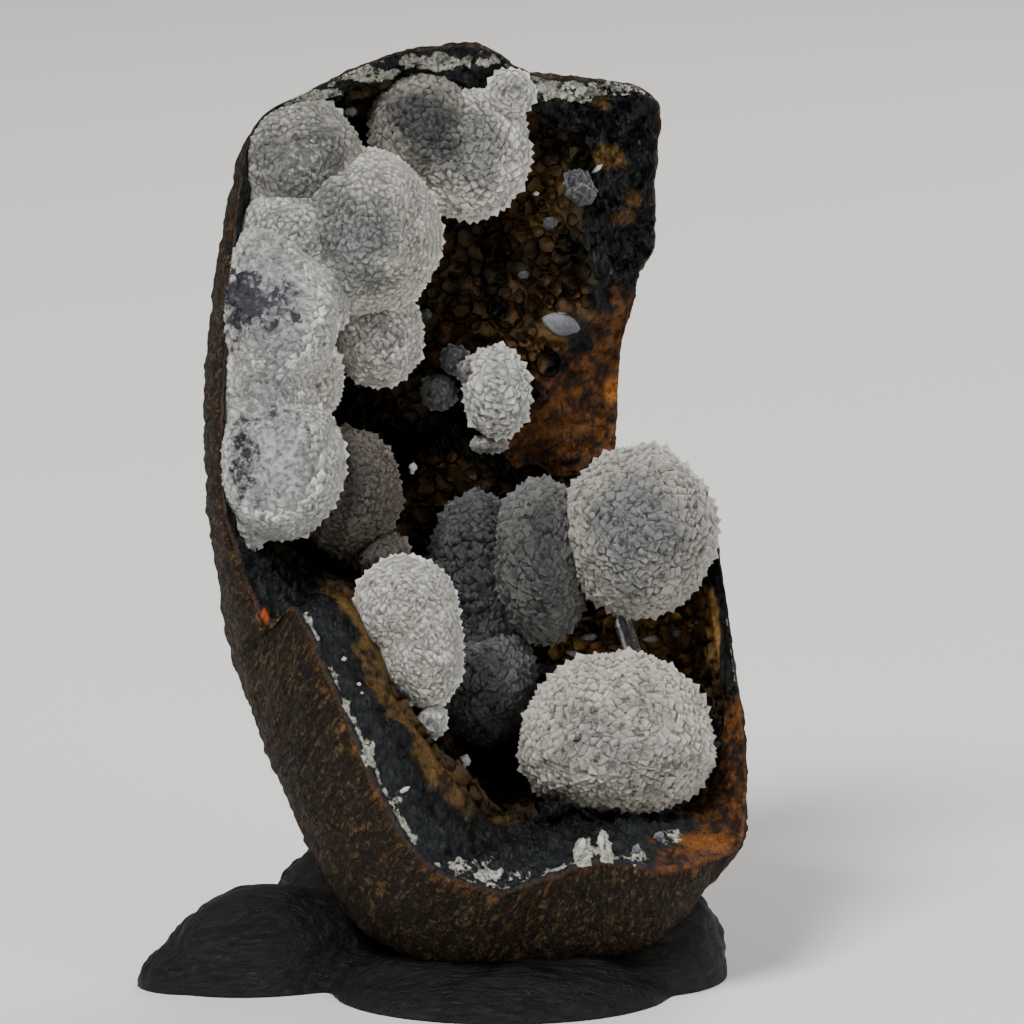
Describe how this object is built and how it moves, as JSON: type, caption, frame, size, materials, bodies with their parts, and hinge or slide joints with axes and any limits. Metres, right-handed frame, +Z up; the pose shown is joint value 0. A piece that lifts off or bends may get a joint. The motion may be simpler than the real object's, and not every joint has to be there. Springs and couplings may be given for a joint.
{
  "type": "mineral specimen",
  "caption": "Chalcedony specimen: pale scaly rosettes in the hollow of a broken dark nodule, standing in a lump of putty.",
  "frame": {"origin": "on the putty's flat resting face, under the middle of the nodule", "axes": "+Z up; -Y is the side that the hollow opens to; +X is to the right as seen from there"},
  "size_m": [0.0609, 0.0475, 0.0927],
  "materials": {
    "nodule": "rough, brown rind outside, black broken face and olive-brown lining",
    "white_chalcedony": "satin, translucent white",
    "grey_chalcedony": "satin, translucent grey",
    "putty": "matt, hand-pressed"
  },
  "bodies": {
    "root": {"nodule": "nodule", "upper_rosettes": "white_chalcedony", "middle_rosette": "white_chalcedony", "right_rosettes": "grey_chalcedony", "left_rosette": "white_chalcedony", "lower_rosette": "white_chalcedony", "small_rosette": "grey_chalcedony", "corner_rosette": "grey_chalcedony", "lens_crystal": "grey_chalcedony", "putty_base": "putty"}
  },
  "joints": []
}
